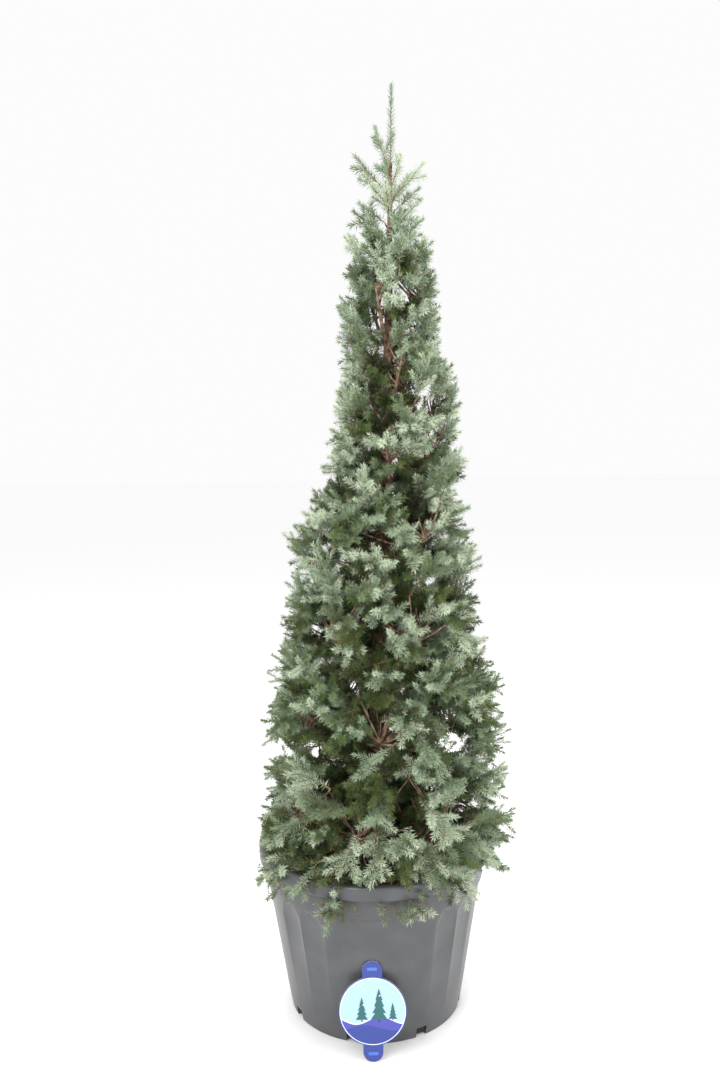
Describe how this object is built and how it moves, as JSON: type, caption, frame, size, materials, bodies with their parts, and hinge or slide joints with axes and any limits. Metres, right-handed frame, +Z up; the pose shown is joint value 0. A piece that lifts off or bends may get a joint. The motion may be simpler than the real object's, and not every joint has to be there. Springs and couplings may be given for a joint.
{
  "type": "potted serbian spruce",
  "caption": "Narrow conical evergreen tree with silvery needle sprays, in a round tapered nursery pot with fluted wall, rolled lip, bark mulch and a leaning plant label.",
  "frame": {"origin": "middle of the pot's flat underside, on the ground", "axes": "+Z up along the tree; -Y is the front, where the label leans; +X is to the right of someone who looks at the front, and the trunk leans that way"},
  "size_m": [0.6126, 0.603, 2.146],
  "materials": {
    "pot_plastic": "matte moulded dark grey polypropylene",
    "potting_soil": "loose dark peat and bark soil",
    "shredded_bark": "loose shredded orange-brown bark",
    "label": "printed semi-gloss label card",
    "bark": "rough scaly brown bark",
    "needles": "satin green and silver-blue needles"
  },
  "bodies": {
    "root": {"pot": "pot_plastic", "potting_soil": "potting_soil", "bark_mulch": "shredded_bark", "plant_label": "label", "trunk": "bark", "bough_skirt_1": "bark", "foliage_skirt_1": "needles", "bough_skirt_2": "bark", "foliage_skirt_2": "needles", "bough_skirt_3": "bark", "foliage_skirt_3": "needles", "bough_skirt_4": "bark", "foliage_skirt_4": "needles", "bough_skirt_5": "bark", "foliage_skirt_5": "needles", "bough_skirt_6": "bark", "foliage_skirt_6": "needles", "bough_low_1": "bark", "foliage_low_1": "needles", "bough_low_2": "bark", "foliage_low_2": "needles", "bough_low_3": "bark", "foliage_low_3": "needles", "bough_low_4": "bark", "foliage_low_4": "needles", "bough_low_5": "bark", "foliage_low_5": "needles", "bough_waist_1": "bark", "foliage_waist_1": "needles", "bough_waist_2": "bark", "foliage_waist_2": "needles", "bough_waist_3": "bark", "foliage_waist_3": "needles", "bough_waist_4": "bark", "foliage_waist_4": "needles", "bough_waist_5": "bark", "foliage_waist_5": "needles", "bough_mid_1": "bark", "foliage_mid_1": "needles", "bough_mid_2": "bark", "foliage_mid_2": "needles", "bough_mid_3": "bark", "foliage_mid_3": "needles", "bough_mid_4": "bark", "foliage_mid_4": "needles", "foliage_upper_1": "needles", "foliage_upper_2": "needles", "foliage_upper_3": "needles", "foliage_upper_4": "needles", "foliage_shoulder_1": "needles", "foliage_shoulder_2": "needles", "foliage_shoulder_3": "needles", "foliage_neck_1": "needles", "foliage_neck_2": "needles", "foliage_neck_3": "needles", "foliage_tip_1": "needles", "foliage_tip_2": "needles", "foliage_crest_1": "needles", "foliage_crest_2": "needles", "foliage_leader": "needles"}
  },
  "joints": []
}
